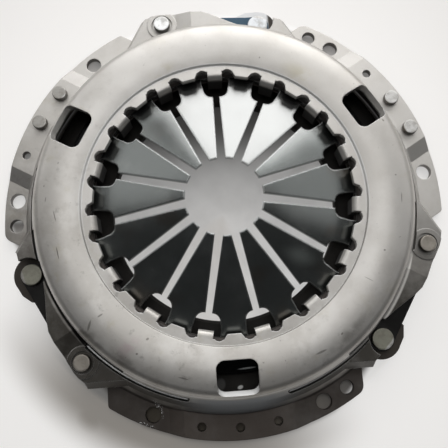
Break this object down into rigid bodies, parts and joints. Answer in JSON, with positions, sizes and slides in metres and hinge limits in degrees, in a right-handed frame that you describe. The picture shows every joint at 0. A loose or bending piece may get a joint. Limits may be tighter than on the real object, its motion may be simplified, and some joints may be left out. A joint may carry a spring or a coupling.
{
  "type": "clutch cover assembly",
  "caption": "Pressed steel clutch cover holding a fingered diaphragm spring, with a cast pressure plate hung on sprung drive straps.",
  "frame": {"origin": "centre of the plane under the three mounting feet, on the clutch's axis", "axes": "+Z along the clutch's axis towards the release bearing, +Y through one strap and the opposite foot at -Y"},
  "size_m": [0.261, 0.2541, 0.0448],
  "materials": {
    "cover_steel": "worn satin",
    "spring_steel": "oiled dark, semi-gloss",
    "wire_steel": "satin",
    "plate_iron": "rough cast, machined faces",
    "strap_steel": "blued dark satin",
    "lug_rivet_steel": "zinc dulled",
    "rivet_steel": "satin"
  },
  "bodies": {
    "cover_side": {"cover": "cover_steel", "diaphragm_spring": "spring_steel", "fulcrum_ring_upper": "wire_steel", "fulcrum_ring_lower": "wire_steel", "strap_1_leaf_bottom": "strap_steel", "strap_1_leaf_middle": "strap_steel", "strap_1_leaf_top": "strap_steel", "strap_2_leaf_bottom": "strap_steel", "strap_2_leaf_middle": "strap_steel", "strap_2_leaf_top": "strap_steel", "strap_3_leaf_bottom": "strap_steel", "strap_3_leaf_middle": "strap_steel", "strap_3_leaf_top": "strap_steel", "strap_rivet_1": "rivet_steel", "strap_rivet_2": "rivet_steel", "strap_rivet_3": "rivet_steel", "balance_rivet_1": "rivet_steel", "balance_rivet_2": "rivet_steel", "balance_rivet_3": "rivet_steel", "balance_rivet_4": "rivet_steel"},
    "plate": {"pressure_plate": "plate_iron", "lug_rivet_1": "lug_rivet_steel", "lug_rivet_2": "lug_rivet_steel", "lug_rivet_3": "lug_rivet_steel"}
  },
  "joints": [
    {"name": "plate_lift", "type": "slide", "parent": "cover_side", "child": "plate", "axis": [0, 0, 1], "range_m": [0, 0.0055], "stiffness_N_per_m": 3000, "deforming": ["diaphragm_spring", "strap_1_leaf_bottom", "strap_1_leaf_middle", "strap_1_leaf_top", "strap_2_leaf_bottom", "strap_2_leaf_middle", "strap_2_leaf_top", "strap_3_leaf_bottom", "strap_3_leaf_middle", "strap_3_leaf_top"]}
  ]
}
